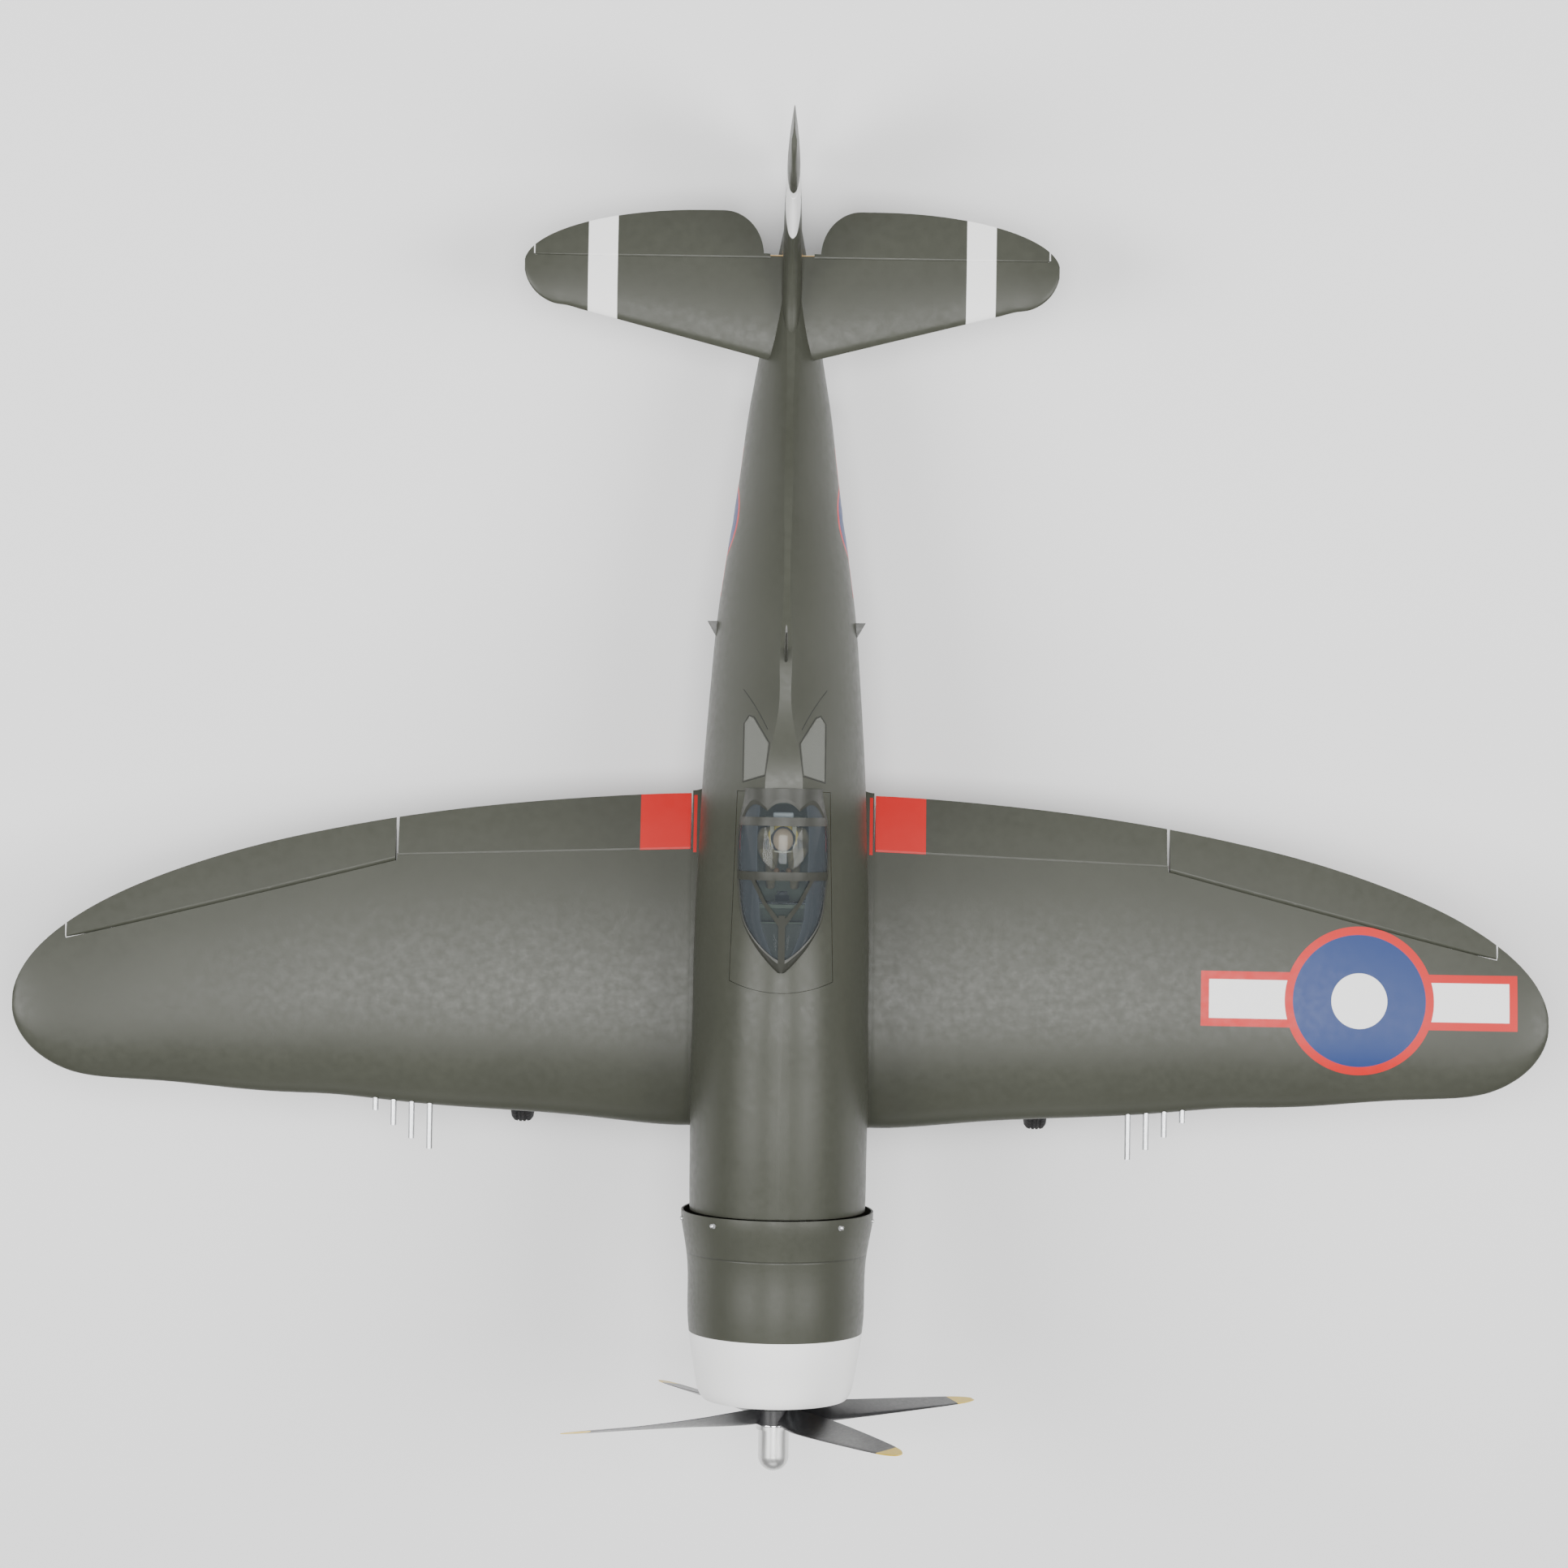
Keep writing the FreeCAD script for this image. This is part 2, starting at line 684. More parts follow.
STAB_STATIONS = (0, 32, 64, 95, 125, 155, 185, 212, 232, 246, 257, 267, 275.5, 282.5, 288, 291.4)
ELEVATOR_END = 280


def elevator_hinge():
    start = Vector(d.elevator_start, d.stab_hinge, d.stab_height)
    end = Vector(ELEVATOR_END, d.stab_hinge, d.stab_height)

    def depth(p):
        return stab_half_depth(p.x, p.y)
    return Hinge(start, end, depth, depth, d.elevator_gap)


def make_stab_and_elevator():
    """Left half of the tailplane and the left elevator."""
    hinge = elevator_hinge()
    loft = Part.makeLoft([stab_section(x) for x in STAB_STATIONS], True)
    cutout_middle, cutout_wide, cutout_deep = 75, 44, 50
    ring = Part.Ellipse(Vector(cutout_middle, d.stab_hinge + cutout_deep, 0),
                        Vector(cutout_middle + cutout_wide, d.stab_hinge, 0),
                        Vector(cutout_middle, d.stab_hinge, 0)).toShape()
    rounded = Part.Face(Part.Wire(ring)).extrude(Vector(0, 0, 200))
    inner = box_between(Vector(-1, d.stab_hinge, 0), Vector(cutout_middle, FAR, 200))
    relief = inner.cut([rounded, box_between(Vector(-1, 0, 0),
                                             Vector(cutout_middle, d.stab_hinge + 3, 200))])
    low, high = -100, 300
    clear = box_between(Vector(-1, -FAR, low), Vector(ELEVATOR_END + d.end_gap, FAR, high))
    slab = box_between(Vector(d.elevator_start, -FAR, low), Vector(ELEVATOR_END, FAR, high))
    aft = box_between(Vector(-1, d.stab_hinge, low), Vector(FAR, FAR, high))
    elevator = loft.common(aft.fuse(nose(hinge, -SKIN_LIP))).common(slab).cut(relief)
    stab = loft.cut([aft.common(clear), nose(hinge, hinge.gap)])
    return stab, elevator, hinge


def make_tail(outer):
    """Tailplane, elevators, fin and rudder, with their hinges."""
    stab, elevator, elevator_line = make_stab_and_elevator()
    fin, rudder, rudder_line = make_fin_and_rudder()
    half_span = d.elevator_start + 10
    middle = Vector(0, d.stab_hinge, d.stab_height)
    reach = Vector(half_span, 0, 0)
    joiner = rod("joiner_rod", middle - reach, middle + reach, "Dims.joiner_radius")
    joiner_hole = bar_between(middle - reach, middle + reach, d.joiner_radius + 0.6)
    joiner_seat = bar_between(middle - reach, middle + reach, d.joiner_radius)

    plates, pins, notches = hinge_set(elevator_line, (0.2, 0.72), 2.6, 21, 21)
    elevator = elevator.cut(notches).fuse(pins).cut(joiner_seat)
    stab = stab.cut(plates)
    stab_pair = stab.fuse(stab.mirror(Vector(), ALONG_X)).removeSplitter().cut(joiner_hole)

    fin_plates, fin_pins, fin_notches = hinge_set(rudder_line, (0.12, 0.5, 0.9), 3, 26, 26)
    foot = box_between(Vector(-100, -FAR, 44), Vector(100, FAR, 400))
    fin = fin.common(foot).cut([outer, stab_pair, joiner_hole] + fin_plates)
    above = box_between(Vector(-100, -FAR, d.rudder_low), Vector(100, FAR, 400))
    rudder = rudder.common(above).cut(fin_notches).fuse(fin_pins)

    node("tailplane", free_form("tailplane_solid", stab_pair))
    node("fin", free_form("fin_solid", fin))
    node("rudder", free_form("rudder_solid", rudder))
    left = free_form("elevator_solid", elevator)
    node("elevators", left, mirrored(left))
    node("elevator_joiner", joiner)
    brackets = plates + [shape.mirror(Vector(), ALONG_X) for shape in plates]
    cove = nose(rudder_line, rudder_line.gap)
    return brackets + fin_plates, [stab_pair, cove, joiner_hole] + fin_plates


# ---------------------------------------------------------------- fuselage sub-parts

def make_body(shell, takers):
    """Fuselage shell with its openings, the windows set in it and the firewall."""
    window_half = [(21, 10), (43, 3), (43, 64), (38, 72), (34, 70), (17.5, 43)]
    panes = [prism([(side * x, y) for x, y in window_half], 60, 200) for side in (-1, 1)]
    tube = bar_between(Vector(-120, d.tube_station, d.tube_height),
                       Vector(120, d.tube_station, d.tube_height), d.tube_radius)
    steering = bar_between(Vector(0, d.tail_pivot, -100), Vector(0, d.tail_pivot, -50), 6)
    body = shell.cut([hatch_prism(0), tube, steering] + panes + takers)
    node("fuselage", free_form("fuselage_shell", body))
    node("quarter_windows", free_form("window_panes", shell.common(Part.makeCompound(panes))))

    front = (d.firewall_station - d.firewall_thick,) + BODY_STATIONS[0][1:]
    plate_face = Part.Face(body_ring(front, d.skin + 0.2))
    wires = bar_between(Vector(0, -500, -40), Vector(0, -400, -40), 14)
    board = plate_face.extrude(Vector(0, d.firewall_thick, 0)).cut(wires)
    node("firewall", free_form("firewall_plate", board))


def cockpit_outline(inset):
    """Corners of the cockpit opening, narrower where the windshield tapers."""
    half, front, rear = d.cockpit_half - inset, d.cockpit_front + inset, d.cockpit_rear - inset
    narrow, shoulder = d.cockpit_half_front - inset, d.cockpit_shoulder
    return [(-half, rear), (half, rear), (half, shoulder), (narrow, front), (-narrow, front),
            (-half, shoulder)]


def make_hatch(shell):
    """Lift-off hatch: the piece of skin with the cockpit opening in it."""
    opening = prism(cockpit_outline(0), 0, 300)
    deck = shell.common(hatch_prism(d.deck_gap)).cut(opening)
    node("hatch_deck", free_form("deck_skin", deck))


def make_cockpit(under_skin):
    """Tub, seat, instrument panel and pilot under the canopy."""
    gap = 0.2
    floor = d.cockpit_floor + d.tub_wall
    tub = prism(cockpit_outline(gap), d.cockpit_floor, 300)
    hollow = prism(cockpit_outline(gap + d.tub_wall), floor, 301)
    seat_back = box_between(Vector(-19, -38, floor), Vector(19, -34, 122))
    cushion = box_between(Vector(-19, -70, floor), Vector(19, -38, floor + 8))
    shape = tub.cut(hollow).common(under_skin).fuse([seat_back, cushion]).removeSplitter()
    node("cockpit_tub", free_form("tub_shell", shape))

    board = prism([(-37, -133), (37, -133), (37, -129), (-37, -129)], floor, 200)
    dome = bar_between(Vector(0, -140, 74), Vector(0, -120, 74), 44)
    room = prism(cockpit_outline(gap + d.tub_wall + 0.3), 80, 118)
    panel = board.common(dome).common(room)
    node("instrument_panel", free_form("panel_board", panel))

    def torso_ring(z, wide, deep, middle):
        ring = Part.Ellipse(Vector(wide, middle, z), Vector(0, middle + deep, z),
                            Vector(0, middle, z))
        return Part.Wire(ring.toShape())
    rows = ((floor + 9, 15, 12, -56), (85, 17, 13, -54), (100, 25, 14, -53), (110, 22, 12, -53),
            (116, 9, 8, -54))
    torso = Part.makeLoft([torso_ring(*row) for row in rows], True)
    head = Part.makeSphere(15, Vector(0, -57, 129))
    neck = bar_between(Vector(0, -55, 110), Vector(0, -56, 122), 7)
    node("pilot", free_form("pilot_figure", torso.fuse([neck, head])))


# station, half width at the sill, top, sill
CANOPY_STATIONS = (
    (-203, 3, 110, 60),
    (-196, 11.5, 113, 60),
    (-182, 23, 119, 60),
    (-166, 33, 127, 60),
    (-148, 41, 136, 60),
    (-122, 45.5, 149, 60),
    (-98, 47.5, 157, 60),
    (-40, 47, 157, 60),
    (-5, 44.5, 152, 60),
)


def canopy_ring(y, half, top, sill, grow, steps=8):
    """Closed arch section: straight lower sides that curve over the top."""
    half, top = half + grow, top + grow
    shoulder = 96
    side = [Vector(half, y, sill), Vector(half, y, (sill + shoulder) / 2)]
    for i in range(steps + 1):
        turn = math.radians(90 * i / steps)
        side.append(Vector(half * math.cos(turn) ** 0.9 if i < steps else 0, y,
                           shoulder + (top - shoulder) * math.sin(turn)))
    other = [Vector(-p.x, p.y, p.z) for p in reversed(side[:-1])]
    arch = interpolated(side + other)
    return Part.Wire([arch, Part.makeLine(other[-1], side[0])])


def canopy_solid(grow):
    return Part.makeLoft([canopy_ring(*row, grow) for row in CANOPY_STATIONS], True)


def make_canopy(outer):
    """Clear canopy with raised frames, standing on the hatch."""
    full = canopy_solid(0)
    glass = full.cut([canopy_solid(-d.glass), outer])
    node("canopy_glass", free_form("glass_shell", glass))

    half = d.frame_half
    arches = [box_between(Vector(-100, y - half, 0), Vector(100, y + half, 300))
              for y in (-98, -40, -5 - half)]
    bar = box_between(Vector(-3.6, -210, 0), Vector(3.6, -140, 300))
    vee = []
    for side in (-1, 1):
        vee.append(prism([(0, -148), (side * 17, -126), (side * 32, -97), (side * 36.5, -97),
                          (side * 20.5, -128), (side * 3, -153), (0, -153)], 0, 300))
    sill = outer.copy()
    sill.translate(Vector(0, 0, 8))
    zones = arches[0].fuse(arches[1:] + [bar] + vee + [sill])
    frames = canopy_solid(d.frame_rise).cut([full, outer]).common(zones)
    node("canopy_frame", free_form("frame_shell", frames.removeSplitter()))


# ---------------------------------------------------------------- nose

# station, half width, top, keel, wall
COWL_STATIONS = (
    (-676, 80, 80, -104, 4.6),
    (-668, 84.6, 84.5, -111, 4.2),
    (-655, 87.6, 87, -116, 3),
    (-635, 91, 90.5, -121, 2.2),
    (-610, 95, 94, -126, 2.2),
    (-570, 97.6, 96.5, -131, 2.2),
    (-522, 99, 98, -136, 2.2),
    (-497, 103, 101.5, -140, 2.2),
    (-470, 106, 104.5, -145, 2.2),
)
COWL_WIDEST = -8


def cowl_ring(y, half, top, keel, inset, steps=6):
    half, top, keel = half - inset, top - inset, keel + inset
    side = []
    for i in range(2 * steps + 1):
        turn = math.radians(-90 + 90 * i / steps)
        reach = top - COWL_WIDEST if turn > 0 else COWL_WIDEST - keel
        across = half * math.cos(turn) if 0 < i < 2 * steps else 0
        side.append(Vector(across, y, COWL_WIDEST + reach * math.sin(turn)))
    right = interpolated(side)
    return Part.Wire([right, right.mirror(Vector(), ALONG_X)])


def make_cowl():
    """Cowl moulding, open at both ends, and its screws."""
    outer = Part.makeLoft([cowl_ring(*row[:4], 0) for row in COWL_STATIONS], True)
    inner = Part.makeLoft([cowl_ring(*row) for row in COWL_STATIONS], True)
    cowl = outer.cut(inner)
    node("cowl", free_form("cowl_shell", cowl))

    station, half, top, keel = -479, 104.7, 103.2, -143.6
    screws = []
    for angle in (50, 9, -33, -72):
        turn = math.radians(angle)
        reach = top - COWL_WIDEST if angle > 0 else COWL_WIDEST - keel
        point = Vector(half * math.cos(turn), station, COWL_WIDEST + reach * math.sin(turn))
        aim = Vector(math.cos(turn) / half, 0, math.sin(turn) / reach).normalize()
        screws.append(Part.makeCylinder(2.7, 3, point - aim * 1.2, aim))
    heads = Part.makeCompound(screws).cut(outer)
    left = free_form("cowl_screw_heads", heads)
    node("cowl_screws", left, mirrored(left))


def facing_forward(station):
    """Placement that turns a body's own Z axis to point at the nose."""
    return Placement(Vector(0, station, 0), Rotation(ALONG_X, 90))


def make_radial():
    """Dummy nine-cylinder engine that fills the cowl opening."""
    cup = turned("crank_cup", (
        (6, 44), ("crank_nose", 44), (20, 32), ("crank_radius", 28), ("crank_radius", 0),
        (34, 0), (34, 26), (18, 30), (15, 42), (6, 42)), facing_forward(d.crank_back))
    node("radial_crankcase", cup)

    heights = [38 + 6 * i for i in range(6)]
    corners = [(0, 36.2), ("barrel_radius", 36.2)]
    for height in heights:
        corners += [("barrel_radius", height), ("fin_radius", height),
                    ("fin_radius", height + 2), ("barrel_radius", height + 2)]
    corners += [("barrel_radius", "barrel_reach"), (0, "barrel_reach")]
    barrel = turned("barrel", corners)
    DOC.recompute()
    tubes = [bar_between(Vector(x, -17, 34), Vector(x * 1.25, -16, 70), 1.5) for x in (-5, 5)]
    single = Part.makeCompound([barrel.Shape] + tubes)
    ring = []
    for i in range(9):
        copy = single.copy()
        copy.Placement = Placement(Vector(0, d.barrel_plane, 0), Rotation(ALONG_Y, 40 * i))
        ring.append(copy)
    barrel.Document.removeObject(barrel.Name)
    crank = bar_between(Vector(0, -700, 0), Vector(0, -600, 0), d.crank_radius)
    cylinders = Part.makeCompound(ring).cut(crank)
    node("radial_cylinders", free_form("cylinder_ring", cylinders))


def make_motor():
    """Outrunner motor: the mount stays, the can and the shaft turn."""
    can = turned("can_shell", (
        (0, 0), ("can_radius", 0), ("can_radius", "can_length"), (8, "can_length"),
        ("shaft_radius", 56), ("shaft_radius", 63.5), (0, 63.5)),
        facing_forward(d.can_front + d.can_length))
    node("motor_can", can)
    back = d.can_front + d.can_length + 2
    post_front = d.firewall_station - d.firewall_thick
    corners = ((-28, -28), (28, -28), (28, 28), (-28, 28))
    base = box_between(Vector(-30, back, -30), Vector(30, back + 4, 30))
    posts = [bar_between(Vector(x * 0.8, back + 2, z * 0.8), Vector(x, post_front + 3, z), 4)
             for x, z in corners]
    room = box_between(Vector(-50, back, -50), Vector(50, post_front, 50))
    node("motor_mount", free_form("mount_frame", base.fuse(posts).common(room)))


# share of the propeller radius, chord, thickness of the chord
BLADE_ROWS = ((0.06, 21, 0.34), (0.17, 28, 0.24), (0.34, 37, 0.15), (0.54, 38, 0.12),
              (0.75, 33, 0.10), (0.89, 26, 0.09), (0.96, 18, 0.09), (0.996, 8, 0.10))


def blade_section(share, chord, ratio):
    """Twisted section of the blade that points up."""
    radius = share * d.prop_radius
    pitch = math.atan(d.prop_pitch / (2 * math.pi * max(radius, 32)))
    along = Vector(math.cos(pitch), math.sin(pitch), 0)
    outward = Vector(math.sin(pitch), -math.cos(pitch), 0)
    hub = Vector(0, d.prop_plane, radius)
    return aerofoil(-chord * 0.45, chord * 0.55, ratio, 0.03,
                    lambda y, z: hub + along * y + outward * z, 8)


def make_propeller():
    """Four-blade propeller moulded in one piece, and the spinner."""
    blade = Part.makeLoft([blade_section(*row) for row in BLADE_ROWS], True)
    back = d.prop_plane + d.prop_hub_half
    hub = Part.makeCylinder(d.prop_hub_radius, 2 * d.prop_hub_half, Vector(0, back, 0), -ALONG_Y)
    shaft = Part.makeCylinder(d.shaft_radius, FAR, Vector(0, FAR / 2, 0), -ALONG_Y)
    blades = []
    for i in range(4):
        copy = blade.copy()
        turn = Rotation(ALONG_Y, 90 - d.prop_turn - 90 * i)
        copy.Placement = Placement(Vector(), turn)
        blades.append(copy)
    dome_seat = Part.makeCylinder(d.dome_ring_radius, FAR,
                                  Vector(0, d.prop_plane - d.prop_hub_half, 0), -ALONG_Y)
    node("propeller", free_form("blades_and_hub", hub.fuse(blades).cut([shaft, dome_seat])))

    body = DOC.addObject("PartDesign::Body", "dome")
    corners = ((0, 0), ("dome_ring_radius", 0), ("dome_ring_radius", "dome_ring"),
               ("dome_radius", "dome_ring"), ("dome_radius", "dome_length"), (0, "dome_length"))
    sketch = profile(body, "dome_profile", "XZ_Plane", corners)
    turn = body.newObject("PartDesign::Revolution", "dome_turn")
    turn.Profile = sketch
    turn.ReferenceAxis = (sketch, ["V_Axis"])
    turn.Angle = 360
    DOC.recompute()
    rim = [i for i, edge in enumerate(turn.Shape.Edges, start=1)
           if edge.BoundBox.ZMin > d.dome_length - 1 and edge.Length > d.dome_radius]
    rounded = body.newObject("PartDesign::Fillet", "dome_round")
    rounded.Base = (turn, ["Edge%d" % i for i in rim])
    rounded.Radius = d.dome_radius - 0.6
    body.Placement = facing_forward(d.prop_plane - d.prop_hub_half)
    node("spinner_dome", body)


# ---------------------------------------------------------------- wing sub-parts

def linkage(hinge, x, lean):
    """Servo, arm, pushrod and horn of one surface, as a parallelogram.

    The horn pin and the arm pin hang by the same arm from the hinge and from
    the servo shaft; lean tips both aft so that the travel is shared evenly.
    """
    share = wing_share(hinge, x)
    place = hinge.frame(share)
    point = hinge.at(share)
    shaft_y = point.y - d.servo_ahead
    rise = wing_skin(x, shaft_y, -1) + d.servo_rise - point.z
    tilt = math.radians(lean)
    pin = Vector(0, d.horn_arm * math.sin(tilt), -d.horn_arm * math.cos(tilt))
    shaft = Vector(0, -d.servo_ahead, rise)
    near, far = 1, 3

    def tongue(root, end, wide, narrow):
        run = (end - root).normalize()
        side = Vector(0, -run.z, run.y)
        corners = [root + side * wide, end + side * narrow, end - side * narrow,
                   root - side * wide]
        points = [Vector(near, p.y, p.z) for p in corners]
        face = Part.Face(Part.makePolygon(points + [points[0]]))
        flat = face.extrude(Vector(far - near, 0, 0))
        tip = Part.makeCylinder(narrow, far - near, Vector(near, end.y, end.z), ALONG_X)
        eye = Part.makeCylinder(d.link_bore, FAR, Vector(-FAR / 2, end.y, end.z), ALONG_X)
        return flat.fuse(tip).cut(eye)

    horn = tongue(Vector(0, pin.y + 7, 4), pin, 6.5, 2.4)
    hub = Part.makeCylinder(4, far - near, Vector(near, shaft.y, shaft.z), ALONG_X)
    arm_eye = Part.makeCylinder(d.link_bore, FAR,
                                Vector(-FAR / 2, shaft.y + pin.y, shaft.z + pin.z), ALONG_X)
    arm = tongue(shaft, shaft + pin, 3.4, 2.4).fuse(hub).cut(arm_eye)

    start, end = shaft + pin, pin
    run = (end - start).normalize()
    length = (end - start).Length
    rod_place = Placement(start, Rotation(Vector(1, 0, 0), run, Vector(), "YXZ"))
    parts = []
    for offset, sense in ((0, 1), (length, -1)):
        for low in (0.1, 3.1):
            cheek_low = min(offset - 2 * sense, offset + 8 * sense)
            cheek = box_between(Vector(low, cheek_low, -2), Vector(low + 0.8, cheek_low + 10, 2))
            parts.append(cheek)
        block_low = min(offset + 6 * sense, offset + 10 * sense)
        parts.append(box_between(Vector(0.1, block_low, -2), Vector(3.9, block_low + 4, 2)))
        parts.append(Part.makeCylinder(d.link_pin, 3.8, Vector(0.1, offset, 0), ALONG_X))
    wire = Part.makeCylinder(d.rod_radius, length - 16, Vector(2, 8, 0), ALONG_Y)
    rod_solid = wire.fuse(parts).removeSplitter()

    half = d.servo_wide / 2
    case = box_between(Vector(-d.servo_deep - 1.2, shaft.y - d.servo_long + 7, shaft.z - half),
                       Vector(-1.2, shaft.y + 7, shaft.z + half))
    stub = Part.makeCylinder(2.2, 2, Vector(-1.3, shaft.y, shaft.z), ALONG_X)
    servo = case.fuse(stub)
    low = shaft.z - half - 1 - d.cover_thick
    pocket = box_between(Vector(-d.servo_deep - 4, shaft.y - 20, low - 30),
                         Vector(6, shaft.y + 20, shaft.z + half + 0.5))
    cover = box_between(Vector(-d.servo_deep - 3.8, shaft.y - 19.8, low),
                        Vector(5.8, shaft.y + 19.8, low + d.cover_thick))
    slot = box_between(Vector(0.4, shaft.y - 10, low - 1), Vector(3.6, shaft.y + 13, low + 3))
    cover = cover.cut(slot)
    for shape in (horn, arm, servo, pocket, cover):
        shape.Placement = place
    rod_solid.Placement = place.multiply(rod_place)
    return SimpleNamespace(horn=horn, arm=arm, rod=rod_solid, servo=servo, pocket=pocket,
                           cover=cover, shaft_point=place.multVec(shaft),
                           horn_point=place.multVec(pin), axis=hinge.direction())


AILERON_LINK_AT = 610
FLAP_LINK_AT = 275
FLAP_LEAN = 20


def gear_down_turn():
    """Turn of the gear's own frame when down: its Z runs up the raked strut."""
    return Rotation(ALONG_X, -d.gear_rake)


def gear_up_turn():
    """Turn of the gear's own frame when retracted into the wing."""
    tuck, rise = math.radians(d.gear_tuck), math.radians(d.dihedral)
    up = Vector(math.cos(tuck) * math.cos(rise), -math.sin(tuck), math.sin(rise)).normalize()
    return Rotation(-ALONG_Z, Vector(), up, "ZXY")


def gear_swing():
    """Rotation that carries the left gear from down to up."""
    return gear_up_turn().multiply(gear_down_turn().inverted())


def trunnion():
    return Vector(d.trunnion_out, d.trunnion_station, d.trunnion_height)


DOOR_OUTLINE = ((-22, -18), (22, -18), (34, -108), (34, -132), (22, -150), (-22, -150),
                (-34, -132), (-34, -108))


def outline_solid(corners, grow, low, high):
    """Solid over an outline in the gear's own YZ plane, between two X values."""
    points = []
    for y, z in corners:
        points.append(Vector(low, y + math.copysign(grow, y), z + (grow if z > -60 else -grow)))
    face = Part.Face(Part.makePolygon(points + [points[0]]))
    return face.extrude(Vector(high - low, 0, 0))


def make_wheel_well():
    """Room for the retracted gear and for the retract unit."""
    deep = 80
    out_of_stroke, in_stroke = -d.gear_length, d.oleo_travel - d.gear_length
    rooms = [box_between(Vector(-d.well_rise, -d.well_radius, out_of_stroke),
                         Vector(deep, d.well_radius, in_stroke))]
    for height in (out_of_stroke, in_stroke):
        rooms.append(Part.makeCylinder(d.well_radius, d.well_rise + deep,
                                       Vector(-d.well_rise, 0, height), ALONG_X))
        rooms.append(Part.makeCylinder(d.well_radius, deep, Vector(-20, 0, height),
                                       Vector(1, -d.well_flare, 0)))
    strut = box_between(Vector(-11, -10, -d.gear_length), Vector(deep, 10, 0))
    door = outline_solid(DOOR_OUTLINE, 1.5, d.door_near - 1.2, deep)
    well = strut.fuse([door] + rooms)
    well.Placement = Placement(trunnion(), gear_up_turn())
    head = box_between(Vector(-70, -17, -18), Vector(13, 17, 18))
    head.Placement = Placement(trunnion(), hinge_turn())
    return [well, head]


def hinge_turn():
    """Turn of the retract unit: its Z is the hinge axis and its X points up."""
    return Rotation(ALONG_Z, Vector(), gear_swing().Axis, "ZXY")


def make_retract():
    """Cheeks and bridge that carry the retract pin inside the wing."""
    cheeks = [box_between(Vector(-8, -12, z), Vector(13, 12, z + 2.5)) for z in (-15, 12.5)]
    bridge = box_between(Vector(11, -12, -15), Vector(13, 12, 15))
    bore = Part.makeCylinder(2.15, FAR, Vector(0, 0, -FAR / 2), ALONG_Z)
    unit = bridge.fuse(cheeks).cut(bore)
    unit.Placement = Placement(trunnion(), hinge_turn())
    return unit


def make_guns(loft):
    """Four barrels ahead of the leading edge, the inner one longest."""
    barrels = []
    for i, proud in enumerate((50, 40, 27, 12)):
        x = 390 + 20 * i
        root = Vector(x, wing_lead(x) + 12, wing_chord_height(x) + 1)
        tip = Vector(x, wing_lead(x) - proud, root.z)
        bore = bar_between(tip, tip + ALONG_Y * 6, 1.9)
        barrels.append(bar_between(tip, root, 3.4).cut(bore))
    return Part.makeCompound(barrels).cut(loft)


def fairing_loft():
    """Wing fillet that swells towards the fuselage side."""
    def section(x):
        share = (d.root_joint - x) / 32
        grow = 12 * share ** 2
        return aerofoil(wing_lead(x) - grow, wing_trail(x) + 3 + 1.5 * grow,
                        wing_ratio(d.root_joint) + 0.05 * share ** 2, d.wing_camber,
                        lambda y, z: Vector(x, y, wing_chord_height(x) + z))
    return Part.makeLoft([section(x) for x in (70, 80, 91, 102)], True)


def make_wing(outer):
    """Both wing panels with flaps, ailerons, linkages and gun barrels."""
    loft = wing_loft()
    flap_line, aileron_line = flap_hinge(), aileron_hinge()
    flap, flap_taken = split_wing(loft, flap_line, d.root_joint, d.flap_end)
    aileron, aileron_taken = split_wing(loft, aileron_line, d.flap_end, d.aileron_end)
    flap_plates, flap_pins, flap_notches = hinge_set(flap_line, (0.08, 0.5, 0.93), 2.4, 1, 42)
    ail_plates, ail_pins, ail_notches = hinge_set(aileron_line, (0.06, 0.5, 0.86), 2.6, 19, 19)
    flap = flap.cut(flap_notches).fuse(flap_pins)
    aileron = aileron.cut(ail_notches).fuse(ail_pins)
    links = {"aileron": linkage(aileron_line, AILERON_LINK_AT, 0),
             "flap": linkage(flap_line, FLAP_LINK_AT, FLAP_LEAN)}

    tube_bore = bar_between(Vector(0, d.tube_station, d.tube_height),
                            Vector(d.tube_reach, d.tube_station, d.tube_height), d.tube_radius)
    pockets = [link.pocket for link in links.values()]
    panel = loft.cut([flap_taken, aileron_taken, tube_bore] + make_wheel_well() + pockets)
    panel = panel.cut(flap_plates + ail_plates)

    def both_sides(label, *shapes):
        left = [free_form(label + "_solid%d" % i, shape) for i, shape in enumerate(shapes)]
        node(label + "_left", *left)
        node(label + "_right", *[mirrored(piece) for piece in left])

    both_sides("wing_panel", panel)
    both_sides("flap", flap, links["flap"].horn.cut(loft))
    both_sides("aileron", aileron, links["aileron"].horn.cut(loft))
    for name, link in links.items():
        both_sides(name + "_servo_arm", link.arm)
        both_sides(name + "_pushrod", link.rod)

    def one_node(label, *shapes):
        left = [free_form(label + "_solid%d" % i, shape) for i, shape in enumerate(shapes)]
        node(label, *(left + [mirrored(piece) for piece in left]))

    one_node("wing_servos", links["flap"].servo, links["aileron"].servo,
             links["flap"].cover, links["aileron"].cover)
    one_node("gun_barrels", make_guns(loft))
    one_node("retract_units", make_retract())
    one_node("wing_fairings", fairing_loft().cut([outer, tube_bore]))
    return flap_plates + ail_plates


def make_wing_tube():
    reach = Vector(d.tube_reach, 0, 0)
    middle = Vector(0, d.tube_station, d.tube_height)
    outside = rod("tube_outside", middle - reach, middle + reach, "Dims.tube_radius")
    inside = rod("tube_inside", middle - reach, middle + reach, "Dims.tube_radius - Dims.tube_wall")
    node("wing_tube", cut("tube_bored", outside, inside))


